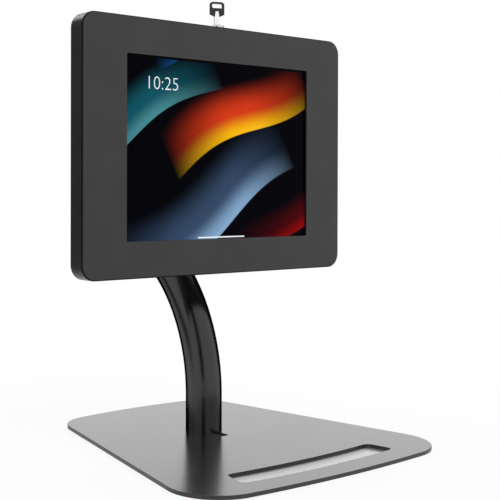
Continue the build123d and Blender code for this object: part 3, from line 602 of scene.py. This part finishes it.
def floorMaterial():
    # plain white where it is seen, except close to the plate, and lit by the room elsewhere
    material, tree = startMaterial("studioFloor")
    matt = addNode(tree, "ShaderNodeBsdfDiffuse")
    matt.inputs["Color"].default_value = studio["floorGrey"]
    plain = addNode(tree, "ShaderNodeEmission")
    plain.inputs["Strength"].default_value = 1
    span = studio["floorSpan"]
    away = maths(tree, "DIVIDE", plateOutlines(tree), span)
    stops = [(place / span, (white, white, white, 1)) for place, white in studio["floorWhite"]]
    share = maths(tree, "MULTIPLY", ramp(tree, away, stops), seenPlainly(tree))
    showSurface(tree, mixShaders(tree, share, matt.outputs["BSDF"], plain.outputs["Emission"]))
    return material


def makeFloor():
    mesh = bmesh.new()
    bmesh.ops.create_grid(mesh, x_segments=1, y_segments=1, size=studio["floorReach"])
    floor = placeMesh("floor", mesh, floorMaterial())


def makeCard(card, material):
    # an upright edge spun round the stand
    mesh = bmesh.new()
    reach = studio["cardReach"]
    first = math.radians(card["from"])
    foot = (reach * math.sin(first), -reach * math.cos(first), card["low"])
    ends = [mesh.verts.new(foot), mesh.verts.new((foot[0], foot[1], card["high"]))]
    edge = mesh.edges.new(ends)
    bmesh.ops.spin(mesh, geom=[*ends, edge], cent=(0, 0, 0), axis=(0, 0, 1), steps=studio["cardSteps"],
                   angle=math.radians(card["to"] - card["from"]))
    thing = placeMesh(card["name"], mesh, material)
    thing.visible_camera = False
    thing.visible_diffuse = False
    thing.visible_transmission = False
    thing.visible_shadow = False


def makeCards():
    material, tree = startMaterial("darkCard")
    dull = addNode(tree, "ShaderNodeEmission")
    dull.inputs["Color"].default_value = studio["cardGrey"]
    showSurface(tree, dull.outputs["Emission"])
    for card in studio["cards"]:
        makeCard(card, material)


def makeWorld():
    world = bpy.data.worlds.new("studio")
    scene.world = world
    world.use_nodes = True
    tree = world.node_tree
    tree.nodes.clear()
    soft = addNode(tree, "ShaderNodeBackground")
    soft.inputs["Color"].default_value = studio["white"]
    towards = addNode(tree, "ShaderNodeTexCoord")
    right = axes(tree, towards.outputs["Generated"])["X"]
    strength = maths(tree, "MULTIPLY_ADD", right, studio["skySlope"], studio["skyStrength"])
    tree.links.new(strength, soft.inputs["Strength"])
    plain = addNode(tree, "ShaderNodeBackground")
    plain.inputs["Color"].default_value = studio["white"]
    plain.inputs["Strength"].default_value = 1
    whole = mixShaders(tree, seenPlainly(tree), soft.outputs["Background"], plain.outputs["Background"])
    showSurface(tree, whole, "ShaderNodeOutputWorld")


def makeLamps():
    for lamp in studio["lamps"]:
        data = bpy.data.lights.new(lamp["name"], "AREA")
        data.shape = "SQUARE"
        data.size = lamp["size"]
        data.energy = lamp["power"]
        light = bpy.data.objects.new(lamp["name"], data)
        scene.collection.objects.link(light)
        light.location = lamp["at"]
        aim = Vector(lamp["aim"]) - Vector(lamp["at"])
        light.rotation_euler = aim.to_track_quat("-Z", "Y").to_euler()
        light.visible_camera = False
        # lamps that light the stand leave no square glints in the gloss paint
        glint = lamp.get("glintOnly", False)
        light.visible_glossy = glint
        light.visible_diffuse = not glint


def makeCamera():
    data = bpy.data.cameras.new("camera")
    camera = bpy.data.objects.new("camera", data)
    scene.collection.objects.link(camera)
    size = studio["imageSize"]
    data.sensor_width = studio["sensor"]
    data.lens = studio["focal"] * studio["sensor"] / size
    data.shift_x = (size / 2 - studio["middlePixel"][0]) / size
    data.shift_y = (studio["middlePixel"][1] - size / 2) / size
    data.clip_start = studio["clipStart"]
    yaw, pitch, roll = (math.radians(studio[name]) for name in ("yaw", "pitch", "roll"))
    forward = Vector((math.sin(yaw) * math.cos(pitch), math.cos(yaw) * math.cos(pitch), -math.sin(pitch)))
    level = Vector((math.cos(yaw), -math.sin(yaw), 0))
    upright = level.cross(forward)
    right = level * math.cos(roll) + upright * math.sin(roll)
    up = upright * math.cos(roll) - level * math.sin(roll)
    turn = Matrix((right, up, -forward)).transposed().to_4x4()
    camera.matrix_world = Matrix.Translation(studio["cameraAt"]) @ turn
    scene.camera = camera


makeFloor()
makeCards()
makeWorld()
makeLamps()
makeCamera()
scene.view_settings.view_transform = "Standard"
print("studio made")
